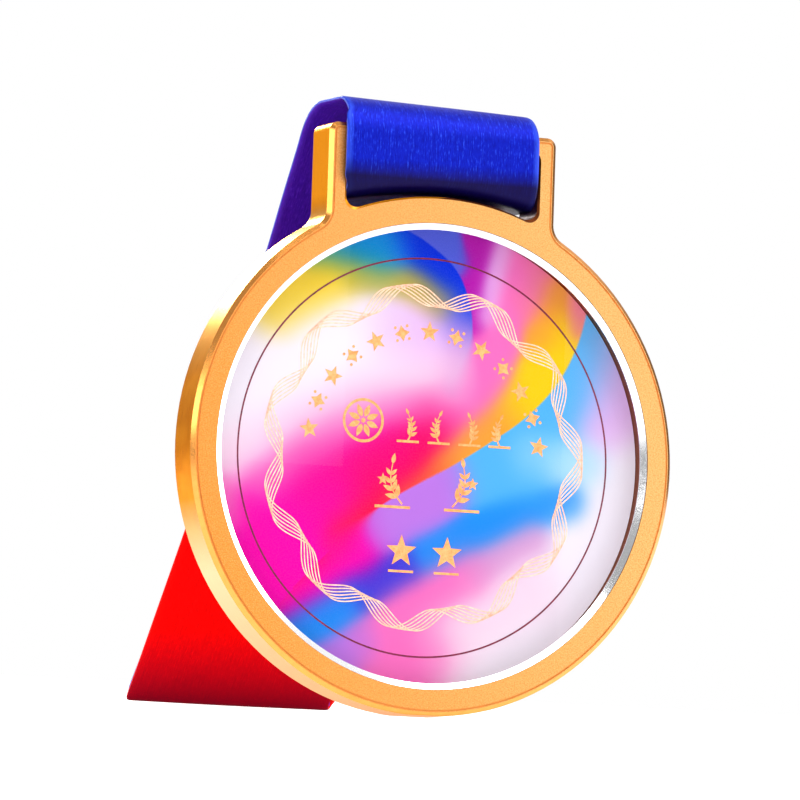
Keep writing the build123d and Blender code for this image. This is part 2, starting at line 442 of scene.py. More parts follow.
# The two crisp edges of the design.
SWEEP_EDGE = [
    (24.5, 34), (22.6, 24), (21.8, 20), (20.8, 16), (19, 12), (16.5, 8.5), (13, 5.2),
    (9, 2.4), (4, -0.8), (0, -3), (-5, -6), (-10, -10), (-22, -19), (-34, -28),
]
DOME_EDGE = [
    (-14, 33), (-6, 29.6), (-2.8, 28.2), (-0.7, 27.2), (2.6, 24.9), (4.5, 22.6), (5.7, 19.5),
    (6.1, 17), (6.1, 13.5), (5.4, 9), (3, 4), (-12, -12),
]
EDGE_SOFTNESS = 0.12  # half the width of a crisp edge


def path_distance(place_uv, path):
    """Distance from each place to an open path, and the same with a sign: positive to its left."""
    best = np.full(len(place_uv), 1e9)
    signed = np.zeros(len(place_uv))
    for a, b in zip(path[:-1], path[1:]):
        a, b = np.array(a, float), np.array(b, float)
        d = b - a
        t = np.clip(((place_uv - a) @ d) / (d @ d), 0, 1)
        off = place_uv - (a + t[:, None] * d)
        distance = np.hypot(off[:, 0], off[:, 1])
        cross = d[0] * (place_uv[:, 1] - a[1]) - d[1] * (place_uv[:, 0] - a[0])
        closer = distance < best
        best = np.where(closer, distance, best)
        signed = np.where(closer, np.sign(cross) * distance, signed)
    return best, signed


def wash_colour(place_uv, washes):
    """Smooth mix of the washes at each place."""
    total = np.zeros((len(place_uv), 3))
    weight = np.zeros((len(place_uv), 1))
    for name, path, reach in washes:
        d2 = path_distance(place_uv, smooth_line(path, 4))[0][:, None] ** 2
        share = np.exp(-d2 / (2 * reach**2)) + 1e-4 / (1 + d2 / reach**2) ** 2
        total += share * np.array(INKS[name]) / 255
        weight += share
    return total / weight


def smooth_step(x, low, high):
    t = np.clip((x - low) / (high - low), 0, 1)
    return t * t * (3 - 2 * t)


def smooth_line(points, steps=12):
    """Catmull-Rom curve through given points."""
    p = [np.array(q, float) for q in points]
    p = [2 * p[0] - p[1], *p, 2 * p[-1] - p[-2]]
    out = []
    for a, b, c, d in zip(p, p[1:], p[2:], p[3:]):
        for i in range(steps):
            t = i / steps
            out.append(0.5 * (2 * b + (c - a) * t + (2 * a - 5 * b + 4 * c - d) * t**2
                              + (3 * b - a - 3 * c + d) * t**3))
    out.append(p[-2])
    return out


def artwork_colours(place_uv):
    """The three parts of the design, joined at edges that soften towards the lower left."""
    left = wash_colour(place_uv, LEFT_WASHES)
    right = wash_colour(place_uv, RIGHT_WASHES)
    lower = wash_colour(place_uv, LOWER_WASHES)
    v = place_uv[:, 1]
    dome = path_distance(place_uv, smooth_line(DOME_EDGE))[1]
    soft = EDGE_SOFTNESS + 2.6 * smooth_step(-v, -17, -8)
    past_dome = smooth_step(dome, -soft, soft)[:, None]
    upper = left * (1 - past_dome) + right * past_dome
    sweep = path_distance(place_uv, smooth_line(SWEEP_EDGE))[1]
    soft = EDGE_SOFTNESS + 4.0 * smooth_step(-v, 6, 14)
    past_sweep = smooth_step(sweep, -soft, soft)[:, None]
    return upper * (1 - past_sweep) + lower * past_sweep


def printed_art():
    s = Shader("printed_art")
    ink = s.node("VertexColor", layer_name="ink").outputs[0]
    dots = s.noise(s.medal_space(), 5.0, 1.0, 0.5)
    colour = s.mix(s.spread(dots, 0.35, 0.65, 0.0, 0.012), ink, (1, 1, 1, 1))
    # Painted light: the print glows in its own colour, and its base colour is dimmed to match, so
    # it stays bright deep under the crystal.
    base_dimmed_for_glow = s.mix(1.0, colour, (0.44, 0.44, 0.44, 1), "MULTIPLY")
    s.set(Base_Color=base_dimmed_for_glow, Roughness=0.6, Specular_IOR_Level=0.0,
          Emission_Color=colour, Emission_Strength=0.45)
    s.bump(dots, 0.004, 0.3)
    return s.material


def artwork():
    """A disc of fine rings that carries the design in its colours."""
    ring_step = 0.2
    rings = int(round(INSERT_RADIUS / ring_step))
    spokes = 720
    points = [(0.0, 0.0)]
    for i in range(1, rings + 1):
        angles = np.arange(spokes) * (2 * math.pi / spokes)
        radius = INSERT_RADIUS * i / rings
        points += list(zip(radius * np.cos(angles), radius * np.sin(angles)))
    uv = np.array(points)
    faces = [(0, 1 + j, 1 + (j + 1) % spokes) for j in range(spokes)]
    for i in range(rings - 1):
        a = 1 + i * spokes
        b = a + spokes
        for j in range(spokes):
            k = (j + 1) % spokes
            faces.append((a + j, b + j, b + k, a + k))
    xyz = np.column_stack([uv, np.full(len(uv), PRINT_FRONT)])
    o = add_mesh("artwork", place(xyz), faces, [printed_art()])
    ink = o.data.color_attributes.new("ink", "FLOAT_COLOR", "POINT")
    colours = artwork_colours(uv)
    linear = np.where(colours <= 0.04045, colours / 12.92, ((colours + 0.055) / 1.055) ** 2.4)
    ink.data.foreach_set("color", np.column_stack([linear, np.ones(len(uv))]).ravel())
    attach(o, "medal")
    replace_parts(o, "artwork_print")


artwork()


# ---- foil printing over the artwork ----
def foil(name, low, high, metallic):
    s = Shader(name)
    flake = s.noise(s.medal_space(), 2.4, 3.0, 0.6)
    colour = s.mix(s.spread(flake, 0.35, 0.65), low, high)
    # Painted light: the foil glows a little in its own colour.
    s.set(Base_Color=colour, Metallic=metallic, Roughness=s.swing(flake, 0.32, 0.46),
          Emission_Color=colour, Emission_Strength=0.2)
    s.bump(flake, 0.006, 0.4)
    return s.material


FOIL_GOLD = foil("foil_gold", srgb(238, 140, 78), srgb(250, 168, 106), 0.3)
FOIL_PALE = foil("foil_pale", srgb(236, 176, 144), srgb(248, 204, 178), 0.2)
FOIL_RED = foil("foil_red", srgb(84, 0, 34), srgb(122, 0, 50), 0.0)
FOIL_LIFT = 0.02  # one layer of foil over the print


class Shapes:
    """Flat shapes that lie together on the print."""

    def __init__(self):
        self.points = []
        self.faces = []

    def polygon(self, outline):
        base = len(self.points)
        self.points += [tuple(q) for q in outline]
        self.faces.append(tuple(range(base, base + len(outline))))

    def line(self, path, width, closed=False):
        """A strip along a path; width is one number or one for each point."""
        path = np.asarray(path, float)
        if closed:
            before, after = np.roll(path, 1, 0), np.roll(path, -1, 0)
        else:
            before = np.vstack([path[:1], path[:-1]])
            after = np.vstack([path[1:], path[-1:]])
        along = after - before
        along /= np.linalg.norm(along, axis=1, keepdims=True)
        across = np.column_stack([-along[:, 1], along[:, 0]])
        half = np.broadcast_to(np.asarray(width, float) / 2, (len(path),))[:, None]
        base = len(self.points)
        both = np.hstack([path - across * half, path + across * half]).reshape(-1, 2)
        self.points += both.tolist()
        count = len(path)
        for i in range(count if closed else count - 1):
            a, b = base + 2 * i, base + 2 * ((i + 1) % count)
            self.faces.append((a, b, b + 1, a + 1))

    def build(self, name, material, lift):
        flat = np.array(self.points)
        xyz = np.column_stack([flat, np.full(len(flat), PRINT_FRONT + lift)])
        o = add_mesh(name, place(xyz), self.faces, [material], smooth=False)
        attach(o, "medal")


def around(centre, radius, angle):
    """The place at an angle on a circle."""
    return (centre[0] + radius * math.cos(angle), centre[1] + radius * math.sin(angle))


def star(shapes, centre, size, points=5, turn=90, waist=0.42):
    outline = []
    for i in range(2 * points):
        radius = size / 2 if i % 2 == 0 else size / 2 * waist
        outline.append(around(centre, radius, math.radians(turn) + i * math.pi / points))
    shapes.polygon(outline)


def leaf(shapes, root, length, width, turn):
    """A pointed leaf from its root."""
    t = np.linspace(0, 1, 13)
    side = width / 2 * np.sin(np.pi * t ** 0.8)
    top = np.column_stack([t * length, side])
    low = np.column_stack([t * length, -side])[1:-1][::-1]
    flat = np.vstack([top, low])
    c, s = math.cos(math.radians(turn)), math.sin(math.radians(turn))
    shapes.polygon(np.column_stack([flat[:, 0] * c - flat[:, 1] * s + root[0],
                                    flat[:, 0] * s + flat[:, 1] * c + root[1]]))


def ring(shapes, centre, radius, width, count=64):
    angles = np.linspace(0, 2 * math.pi, count, endpoint=False)
    shapes.line([around(centre, radius, a) for a in angles], width, closed=True)


def guilloche():
    """Six waving strands that plait round the design."""
    shapes = Shapes()
    count = 1440
    theta = np.linspace(0, 2 * math.pi, count, endpoint=False)
    for i in range(6):
        phase = math.radians(-55 + 22 * i)
        swell = 1.35 * np.cos(11 * (theta - math.radians(264)) + phase)
        radius = 20.4 + swell
        path = np.column_stack([radius * np.cos(theta), radius * np.sin(theta)])
        shapes.line(path, 0.15, closed=True)
    shapes.build("guilloche_foil", FOIL_PALE, 2 * FOIL_LIFT)


def circle_line():
    shapes = Shapes()
    ring(shapes, (0, 0), 25.0, 0.22, 360)
    shapes.build("circle_foil", FOIL_RED, FOIL_LIFT)


def arc_ornaments():
    """Stars and lozenges in an arc over the rosette."""
    shapes = Shapes()
    count = 13
    for i in range(count):
        angle = math.radians(170 - 162 * i / (count - 1))
        centre = around((0, 0), 15.8, angle)
        if i % 2 == 0:
            star(shapes, centre, 2.7, 5, math.degrees(angle))
        else:
            star(shapes, centre, 2.1, 4, math.degrees(angle), 0.5)
            for k in range(4):
                dot = around(centre, 1.15, angle + math.pi / 4 + k * math.pi / 2)
                shapes.polygon([around(dot, 0.2, a * math.pi / 4) for a in range(8)])
    shapes.build("arc_foil", FOIL_GOLD, 2 * FOIL_LIFT)


def rosette():
    """Eight leaves in a ring."""
    shapes = Shapes()
    centre = (-8.3, 4.2)
    ring(shapes, centre, 2.6, 0.35)
    for i in range(8):
        turn = 45 * i + 22.5
        leaf(shapes, around(centre, 0.5, math.radians(turn)), 1.7, 0.75, turn)
    star(shapes, centre, 0.8, 8, 0, 0.6)
    shapes.build("rosette_foil", FOIL_GOLD, 2 * FOIL_LIFT)


def sprig(shapes, foot, height, lean, mirror=1):
    """A laurel sprig: a curved stem with paired leaves."""
    t = np.linspace(0, 1, 17)
    bend = 0.16 * height * np.sin(math.pi * t)
    c, s = math.cos(math.radians(lean)), math.sin(math.radians(lean))
    x = mirror * bend
    y = t * height
    path = np.column_stack([foot[0] + x * c - mirror * y * s,
                            foot[1] + mirror * x * s + y * c])
    shapes.line(path, 0.22 - 0.1 * t)
    for i in (3, 6, 9, 12):
        step = path[i + 1] - path[i]
        along = math.degrees(math.atan2(step[1], step[0]))
        size = height * (0.36 - 0.012 * i)
        leaf(shapes, path[i], size, size * 0.4, along + 42)
        leaf(shapes, path[i], size, size * 0.4, along - 42)
    step = path[-1] - path[-2]
    along = math.degrees(math.atan2(step[1], step[0]))
    leaf(shapes, path[-1], height * 0.26, height * 0.11, along)


def ornaments():
    """Sprigs and stars over short bars, in three rows."""
    shapes = Shapes()
    for i, u in enumerate((-2.2, 2.0, 6.2, 10.3)):
        sprig(shapes, (u, 2.0), 3.3, 0, 1 if i % 2 == 0 else -1)
        shapes.line([(u - 1.5, 1.9), (u + 1.5, 1.9)], 0.3)
    for u, mirror in ((-4, -1), (5.4, 1)):
        sprig(shapes, (u - 1.3 * mirror, -6.0), 5.2, -16, mirror)
        star(shapes, (u + 1.4 * mirror, -3.0), 1.6)
        shapes.line([(u - 2.4, -6.4), (u + 2.4, -6.4)], 0.35)
    for u in (-2.6, 3.6):
        star(shapes, (u, -11.9), 4.2)
        shapes.line([(u - 1.7, -14.4), (u + 1.7, -14.4)], 0.3)
    shapes.build("ornament_foil", FOIL_GOLD, 2 * FOIL_LIFT)


guilloche()
circle_line()
arc_ornaments()
rosette()
ornaments()


# ---- ribbon ----
RIBBON_WIDTH = 25.4
RIBBON_THICKNESS = 0.45
LAYER_PITCH = 0.6  # from one folded layer to the next
FOOT_DEPTH = -69.0  # w of the fold that the leg stands on
LEG_PASS_POINT = (27.4, -26.3)  # (v, w) that the leg runs through
SLOT_RUN_HEIGHT = 33.2  # v of the strap where it goes through the slot
FRONT_RUN = 0.7  # w of the strap in front of the bar
TOP_RUN = 44.0  # v of the strap over the bar
RED_JOINS_LEG = 51.0
HANK_LOW = 12.0  # the folded rest's ends, up the leg from the foot
HANK_HIGH = 70.0
HANK_SHIFT = 4.2  # the folded rest lies this far to the right of the leg
SEAM_LAP = 5.0
SEAM_END = (29.6, -13.6)
SEAM_SLOPE = (-0.80, -0.60)

foot_height = (
    -CENTRE[2] + RIBBON_THICKNESS / 2 + 0.1 - FOOT_DEPTH * math.sin(LEAN)
) / math.cos(LEAN)
FOOT = (foot_height, FOOT_DEPTH)
leg = np.array(FOOT) - np.array(LEG_PASS_POINT)
leg_down = leg / np.linalg.norm(leg)
leg_out = np.array((-leg_down[1], leg_down[0]))


def on_leg(up_from_foot, layer):
    """(v, w) of a place up the leg, on one of its layers."""
    return tuple(np.array(FOOT) - leg_down * up_from_foot + leg_out * layer * LAYER_PITCH)


def seam_point(along, layer):
    """(v, w) of a place on the seam behind the slot."""
    off = layer * LAYER_PITCH
    return (SEAM_END[0] + SEAM_SLOPE[0] * along - SEAM_SLOPE[1] * off,
            SEAM_END[1] + SEAM_SLOPE[1] * along + SEAM_SLOPE[0] * off)


def rounded_route(points, radii, step):
    """Points along a route whose corners are arcs of the given radii."""
    p = [np.array(q, float) for q in points]
    out = [p[0]]

    def run_to(end):
        start = out[-1]
        gap = np.linalg.norm(end - start)
        pieces = max(1, int(math.ceil(gap / step)))
        for i in range(1, pieces + 1):
            out.append(start + (end - start) * i / pieces)

    for a, b, c, radius in zip(p, p[1:], p[2:], radii):
        into = (b - a) / np.linalg.norm(b - a)
        away = (c - b) / np.linalg.norm(c - b)
        turn = math.acos(max(-1.0, min(1.0, float(into @ away))))
        cut = radius * math.tan(turn / 2)
        run_to(b - into * cut)
        side = 1 if into[0] * away[1] - into[1] * away[0] > 0 else -1
        normal = side * np.array((-into[1], into[0]))
        centre = b - into * cut + normal * radius
        pieces = max(4, int(math.ceil(radius * turn / step)), int(turn / 0.22))
        for i in range(1, pieces + 1):
            angle = turn * i / pieces
            arm = into * math.sin(angle) - normal * math.cos(angle)
            out.append(centre + radius * arm)
    run_to(p[-1])
    return np.array(out)


SLOT_CROWN = 1.5  # how far the strap's edges sag over the ring's rounded top
TOP_TILT = 0.45  # the strap's left edge rides higher over the bar
FRONT_SPREAD = 0.5  # the strap covers the slot's left edge
LEG_TWIST = 3.9  # the foot line is turned, left end back
LEG_STARTS = -20.0  # w behind which a strap belongs to the leg


def turn_leg(p, c):
    """Row-frame points of medal points p, turned on the leg by c, their share of half a width."""
    down = (LEG_PASS_POINT[0] - p[:, 1]) / (LEG_PASS_POINT[0] - FOOT[0])
    placed = place(p)
    placed[:, 1] -= LEG_TWIST * MM * c * np.clip(down, 0, 1.02) * (p[:, 2] < LEG_STARTS)
    return placed


def strap_form(points):
    """Small three-dimensional shaping of a strap, from its side-view form."""
    p = np.array(points)
    c = np.clip(p[:, 0] / (RIBBON_WIDTH / 2), -1.1, 1.1)
    # In the slot and shortly behind it, the edges sag.
    in_slot = smooth_step(-p[:, 1], -37.5, -33.2) * (1 - smooth_step(-p[:, 2], 12.0, 20.0))
    in_slot *= (p[:, 2] < 2.0) * smooth_step(p[:, 1], 26.0, 30.5)
    p[:, 1] -= SLOT_CROWN * in_slot * c**2
    in_front = smooth_step(p[:, 2], -0.3, 0.5) * smooth_step(p[:, 1], 32.6, 34.6)
    p[:, 0] += FRONT_SPREAD * in_front * np.minimum(c, 0)
    over_bar = smooth_step(p[:, 1], 39.0, 44.0)
    p[:, 1] -= TOP_TILT * over_bar * c
    return turn_leg(p, c)


PICOT = 0.09  # the woven edge's small loops stand out by this
RIPPLE = 0.035


def strap_mesh(name, runs, shift_at, materials, phase):
    """A closed strap along runs of side-view points, in materials (front, back, edges)."""
    route = np.vstack(runs)
    keep = np.ones(len(route), bool)
    keep[1:] = np.linalg.norm(np.diff(route, axis=0), axis=1) > 1e-4
    route = route[keep]
    ahead = np.vstack([route[1:], route[-1:]]) - np.vstack([route[:1], route[:-1]])
    ahead /= np.linalg.norm(ahead, axis=1, keepdims=True)
    normal = np.column_stack([-ahead[:, 1], ahead[:, 0]])
    steps = np.linalg.norm(np.diff(route, axis=0), axis=1)
    length = np.concatenate([[0], np.cumsum(steps)])
    shift = np.array([shift_at(s) for s in length])
    # Shares of half the width, closer together at the edges, where it thins.
    columns = np.concatenate([[-1.0, -0.984, -0.95], np.linspace(-0.88, 0.88, 13),
                              [0.95, 0.984, 1.0]])
    points, uv = [], []
    for i, (centre, n, s, x) in enumerate(zip(route, normal, length, shift)):
        picot = PICOT if i % 2 == 0 else -PICOT
        ripple = RIPPLE * math.sin(s * 0.42 + phase)
        for side in (1, -1):
            for c in columns:
                u = c * RIBBON_WIDTH / 2
                if abs(c) == 1.0:
                    u += math.copysign(picot, c)
                thick = RIBBON_THICKNESS / 2
                if abs(c) > 0.99:
                    thick *= 0.55
                elif abs(c) > 0.98:
                    thick *= 0.95
                lift = ripple * math.sin(2.1 * c + phase) + side * thick
                y, z = centre + n * lift
                points.append((u + x, y, z))
                uv.append((u, s))
    across = len(columns)
    faces, kinds = [], []

    def add(kind, *corners):
        faces.append(corners)
        kinds.append(kind)

    last = across - 1
    for i in range(len(route) - 1):
        a, b = i * 2 * across, (i + 1) * 2 * across
        c, d = a + across, b + across
        for j in range(last):
            add(0, a + j, a + j + 1, b + j + 1, b + j)
            add(1, c + j, d + j, d + j + 1, c + j + 1)
        add(2, a, b, d, c)
        add(2, a + last, c + last, d + last, b + last)
    end = (len(route) - 1) * 2 * across
    for j in range(last):
        add(2, j, j + across, j + across + 1, j + 1)
        add(2, end + j, end + j + 1, end + j + across + 1, end + j + across)
    o = add_mesh(name, strap_form(points), faces, materials, uv)
    o.data.polygons.foreach_set("material_index", kinds)
    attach(o, "ribbon")
    return o


def satin(name, deep, base, light, shine=0.1, shade=None, shade_colour=None, lustre=0.0):
    """Warp-faced satin: fine streaks run along the ribbon, the paler ones painted sheen.

    shade is the v it starts at and the v it is full at, and then, where it only
    holds near the medal, the w it starts at and the w it is full at.
    """
    s = Shader(name)
    uv = s.node("UVMap").outputs[0]
    across = s.split(uv)[0]
    long = s.noise(s.stretch(uv, (7.0, 0.25, 1.0)), 1.0, 2.0, 0.6)
    dash = s.noise(s.stretch(uv, (5.5, 1.3, 1.0)), 1.0, 2.0, 0.6)
    fine = s.math("ADD", s.math("MULTIPLY", long, 0.45), s.math("MULTIPLY", dash, 0.55))
    broad = s.noise(s.stretch(uv, (1.6, 0.06, 1.0)), 1.0, 2.0, 0.5)
    weft = s.node("TexWave", s.stretch(uv, (0.0, 2.4, 0.0)), bands_direction="Y")
    s.fill(weft, Scale=1.0, Distortion=0.0)
    colour = s.mix(s.swing(fine), deep, base)
    # Painted sheen: paler streaks along the threads.
    painted_sheen_streak = s.spread(fine, 0.56, 0.72, 0.0, 0.5)
    colour = s.mix(painted_sheen_streak, colour, light)
    colour = s.mix(s.spread(broad, 0.35, 0.65, 0.0, 0.18), colour, deep)
    edge = s.spread(s.math("ABSOLUTE", across), 11.9, 12.4, 0.0, 0.25)
    colour = s.mix(edge, colour, light)
    if shade:
        _, height_up, outward = s.split(s.medal_space())
        depth = s.spread(height_up, shade[0], shade[1], 0.0, 0.92)
        near_face = s.spread(outward, *shade[2:]) if len(shade) > 2 else 1.0
        colour = s.mix(s.math("MULTIPLY", depth, near_face), colour, shade_colour)
    s.set(Base_Color=colour, Roughness=s.swing(fine, 0.5, 0.34), Specular_IOR_Level=shine,
          Metallic=lustre, Anisotropic=0.5)
    weave = s.math("MULTIPLY", weft.outputs[1], 0.2)
    s.bump(s.math("ADD", s.math("MULTIPLY", fine, 0.8), weave), 0.05, 0.6)
    return s.material


BLUE_FACE = satin(
    "satin_blue", srgb(2, 8, 128), srgb(10, 34, 192), srgb(70, 112, 252), 0.1,
    (36.6, 34.4, -16.0, -11.0), srgb(10, 0, 36), 0.4)
# Painted shade and reflection: the underside is coloured purple for the blue in shade with a warm
# reflection.
BLUE_BACK_PAINTED_SHADE = satin(
    "satin_blue_back_painted_shade", srgb(48, 10, 130), srgb(74, 22, 176), srgb(96, 50, 200), 0.06,
    (37.4, 34.6, -16.0, -11.0), srgb(14, 2, 44))
BLUE_EDGE = satin("selvage_blue", srgb(12, 16, 130), srgb(40, 60, 220), srgb(130, 160, 250), 0.2)
RED_OUTER = satin(
    "satin_red", srgb(176, 0, 0), srgb(222, 0, 2), srgb(248, 30, 18), 0.06, lustre=0.2)
RED_INNER = satin(
    "satin_red_inner", srgb(196, 0, 0), srgb(238, 0, 0), srgb(255, 10, 6), 0.02,
    (-20.0, -29.5), srgb(96, 0, 26))
RED_EDGE = satin("selvage_red", srgb(190, 0, 0), srgb(236, 4, 4), srgb(255, 60, 50), 0.1)

leg_top = (TOP_RUN - FOOT[0]) / -leg_down[0]
FINE_STEP = 0.16  # between the points of the part that shows
COARSE_STEP = 0.8  # and of the folded rest


def hank_passes(layer, outer):
    """Corner points and radii of the folded rest, from its first pass up the leg.

    outer says whether that pass is round the outside of the folds.
    """
    corners, radii = [], []
    for fold in range(4):
        hop = 3 if outer else 1
        inset = 0.0 if outer else 0.9
        height = HANK_HIGH - inset if fold % 2 == 0 else HANK_LOW + inset
        corners.append(on_leg(height, layer))
        layer += hop
        corners.append(on_leg(height, layer))
        radii += 2 * [hop * LAYER_PITCH / 2 - 0.02]
        outer = not outer
    corners.append(on_leg(HANK_HIGH - 1.5, layer))
    return corners, radii


def shift_along(stations, foot, first_step):
    """Sideways shift along a strap, as a function of the place on it.

    It follows (place, shift) stations on the leg, takes a step at the foot's fold,
    and then goes over to the folded rest's shift.
    """
    at, shift = zip(*stations)
    rest_step = HANK_SHIFT - shift[-1] - first_step

    def shift_at(s):
        on_the_leg = float(np.interp(s, at, shift))
        step = first_step * float(smooth_step(np.array(s), foot - 0.5, foot + 2.5))
        rest = rest_step * float(smooth_step(np.array(s), foot + 2, foot + 40))
        return on_the_leg + step + rest
    return shift_at


def route_length(route):
    return float(np.linalg.norm(np.diff(route, axis=0), axis=1).sum())


def blue_ribbon():
    seen = [
        seam_point(SEAM_LAP, 0), (SLOT_RUN_HEIGHT, -10.8), (SLOT_RUN_HEIGHT, FRONT_RUN),
        (TOP_RUN, FRONT_RUN), on_leg(leg_top, 0), on_leg(0.5, 0), on_leg(0.5, 1), on_leg(8, 1),
    ]
    front = rounded_route(seen, [2.5, 3.0, 4.4, 9.0, 0.28, 0.28], FINE_STEP)
    foot = route_length(front) - 9.0
    corners, radii = hank_passes(1, True)
    rest = rounded_route([on_leg(8, 1), *corners], radii, COARSE_STEP)
    stations = [(20, -0.2), (75, -0.2), (108, 1.3), (foot, 0.2)]
    return strap_mesh("blue_strap", [front, rest], shift_along(stations, foot, 0.35),
                      [BLUE_FACE, BLUE_BACK_PAINTED_SHADE, BLUE_EDGE], 0.4)


def red_ribbon():
    seen = [
        seam_point(0, -1), seam_point(SEAM_LAP + 6.0, -1), on_leg(RED_JOINS_LEG, -1),
        on_leg(0, -1), on_leg(0, 2), on_leg(8, 2),
    ]
    front = rounded_route(seen, [20.0, 20.0, 0.8, 0.8], FINE_STEP)
    length = route_length(front)
    foot = length - 9.5
    corners, radii = hank_passes(2, False)
    rest = rounded_route([on_leg(8, 2), *corners], radii, COARSE_STEP)
    stations = [(length - 55, 1.1), (foot, 0.0)]
    return strap_mesh("red_strap", [front, rest], shift_along(stations, foot, 1.5),
                      [RED_OUTER, RED_INNER, RED_EDGE], 1.7)


blue = blue_ribbon()
red = red_ribbon()
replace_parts(blue, "ribbon_blue", "ribbon_hank")
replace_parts(red, "ribbon_red", "ribbon_hank")

# ---- band round the folded rest, and the seams' threads ----
TIE_WIDTH = 6.0
TIE_THICKNESS = 0.45
TIE_CLEARANCE = 0.15
TIE_CORD = 0.75  # from one of its cords to the next


def elastic():
    """White narrow elastic: cords run along it, a fine weave crosses them, and painted shade greys
    their hollows.
    """
    s = Shader("tie_elastic")
    uv = s.node("UVMap").outputs[0]
    across, along, _ = s.split(uv)
    cords = s.math("SINE", s.math("MULTIPLY", across, 2 * math.pi / TIE_CORD))
    weave = s.math("SINE", s.math("MULTIPLY", along, 2 * math.pi / 0.5))
    fuzz = s.noise(uv, 6.0, 3.0, 0.7)
    height = s.math("ADD", s.math("MULTIPLY", cords, 0.35), s.math("MULTIPLY", weave, 0.15))
    height = s.math("ADD", height, s.math("MULTIPLY", fuzz, 0.3))
    # Painted shade: lower parts of the cords and weave are greyer.
    colour = s.mix(s.spread(height, -0.3, 0.6), srgb(138, 138, 146), srgb(214, 214, 212))
    s.set(Base_Color=colour, Roughness=0.75, Sheen_Weight=0.2)
    s.bump(height, 0.06, 0.8)
    return s.material


def band_path(low, high, left, right, radius, count=10):
    """Points of a rounded rectangle in (u, away from the leg)."""
    out = []
    corners = ((right, high, 0), (left, high, 90), (left, low, 180), (right, low, 270))
    for x, y, start in corners:
        cx = x - math.copysign(radius, x - (left + right) / 2)
        cy = y - math.copysign(radius, y - (low + high) / 2)
        for i in range(count + 1):
            a = math.radians(start + 90 * i / count)
            out.append((cx + radius * math.cos(a), cy + radius * math.sin(a)))
    return np.array(out)


def leg_place(u, up_from_foot, away):
    """Medal coordinates of a point near the leg."""
    base = np.array(FOOT) - leg_down * up_from_foot + leg_out * away
    return (u, base[0], base[1])


def tie_band():
    """A closed band with rounded edges."""
    low = -1.5 * LAYER_PITCH - TIE_CLEARANCE
    high = 10.5 * LAYER_PITCH + TIE_CLEARANCE
    left = -RIBBON_WIDTH / 2 - TIE_CLEARANCE
    right = RIBBON_WIDTH / 2 + HANK_SHIFT + TIE_CLEARANCE
    middle = (HANK_LOW + HANK_HIGH) / 2
    inner = band_path(low, high, left, right, 0.5)
    out = TIE_THICKNESS
    outer = band_path(low - out, high + out, left - out, right + out, 0.5 + out)
    # The band's section: (place across it, share of its thickness).
    side, inset, reach = TIE_WIDTH / 2, TIE_WIDTH / 2 - 0.1, TIE_WIDTH / 2 - 0.6
    inside = [(x, 0.0) for x in np.linspace(-reach, reach, 9)]
    outside = [(x, 1.0) for x in np.linspace(reach, -reach, 9)]
    section = [(-side, 0.12), (-inset, 0.0), *inside, (inset, 0.0), (side, 0.12),
               (side, 0.88), (inset, 1.0), *outside, (-inset, 1.0), (-side, 0.88)]
    points, uv, faces = [], [], []
    run = 0.0
    count = len(inner)
    for i in range(count):
        if i:
            run += float(np.linalg.norm(outer[i] - outer[i - 1]))
        for x, share in section:
            cord = 0.05 * math.sin(2 * math.pi * x / TIE_CORD) * (share > 0.9)
            p = inner[i] + (outer[i] - inner[i]) * (share + cord)
            points.append(leg_place(p[0], middle + x, p[1]))
            uv.append((x, run))
    n = len(section)
    for i in range(count):
        k = (i + 1) % count
        for j in range(n):
            m = (j + 1) % n
            faces.append((i * n + j, i * n + m, k * n + m, k * n + j))
    points = np.array(points)
    placed = turn_leg(points, points[:, 0] / (RIBBON_WIDTH / 2))
    o = add_mesh("tie_band", placed, faces, [elastic()], uv)
    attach(o, "ribbon")
    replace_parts(o, "hank_tie")


def thread(name, colour):
    s = Shader(name)
    ply = s.noise(s.medal_space(), 6.0, 2.0, 0.6)
    deep = (*(c * 0.6 for c in colour[:3]), 1)
    s.set(Base_Color=s.mix(ply, deep, colour), Roughness=0.6)
    s.bump(ply, 0.05, 0.7)
    return s.material


def stitch_rows(name, rows, material):
    """Rows of thread stitches. Each row is (start, end, lift direction), in medal mm."""
    pitch, thick, sides, steps = 1.5, 0.16, 8, 8
    points, faces = [], []
    for start, end, lift in rows:
        start, end, lift = (np.array(q, float) for q in (start, end, lift))
        length = np.linalg.norm(end - start)
        along = (end - start) / length
        across = np.cross(along, lift)
        for k in range(int(length / pitch)):
            base = start + along * (k + 0.5) * pitch
            first = len(points)
            for i in range(steps + 1):
                t = i / steps
                mid = base + along * (t - 0.5) * pitch * 0.86
                rise, sway = 0.13 * math.sin(math.pi * t), 0.05 * math.sin(2 * math.pi * t)
                mid = mid + lift * rise + across * sway
                size = thick * (0.35 + 0.65 * math.sin(math.pi * t) ** 0.5)
                for j in range(sides):
                    a = 2 * math.pi * j / sides
                    points.append(mid + size * (lift * math.sin(a) + across * math.cos(a)))
            for i in range(steps):
                for j in range(sides):
                    m = (j + 1) % sides
                    a = first + i * sides
                    faces.append((a + j, a + m, a + sides + m, a + sides + j))
            faces.append(tuple(first + j for j in range(sides))[::-1])
            faces.append(tuple(first + steps * sides + j for j in range(sides)))
    o = add_mesh(name, strap_form(points), faces, [material])
    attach(o, "ribbon")
    return o


THREAD_LIFT = RIBBON_THICKNESS / 2 + 0.02
THREAD_REACH = np.array((11.6, 0, 0))


def seam_threads():
    normal = np.array((0.0, -SEAM_SLOPE[1], SEAM_SLOPE[0]))
    rows = []
    for along in (0.9, 1.7, 3.4, 4.2):
        for layer, side in ((-1, -1), (0, 1)):
            v, w = seam_point(along, layer)
            lift = side * normal
            base = np.array((0.0, v, w)) + lift * THREAD_LIFT
            rows.append((base - THREAD_REACH, base + THREAD_REACH, lift))
    return stitch_rows("seam_threads", rows, thread("thread_blue", srgb(30, 44, 190)))


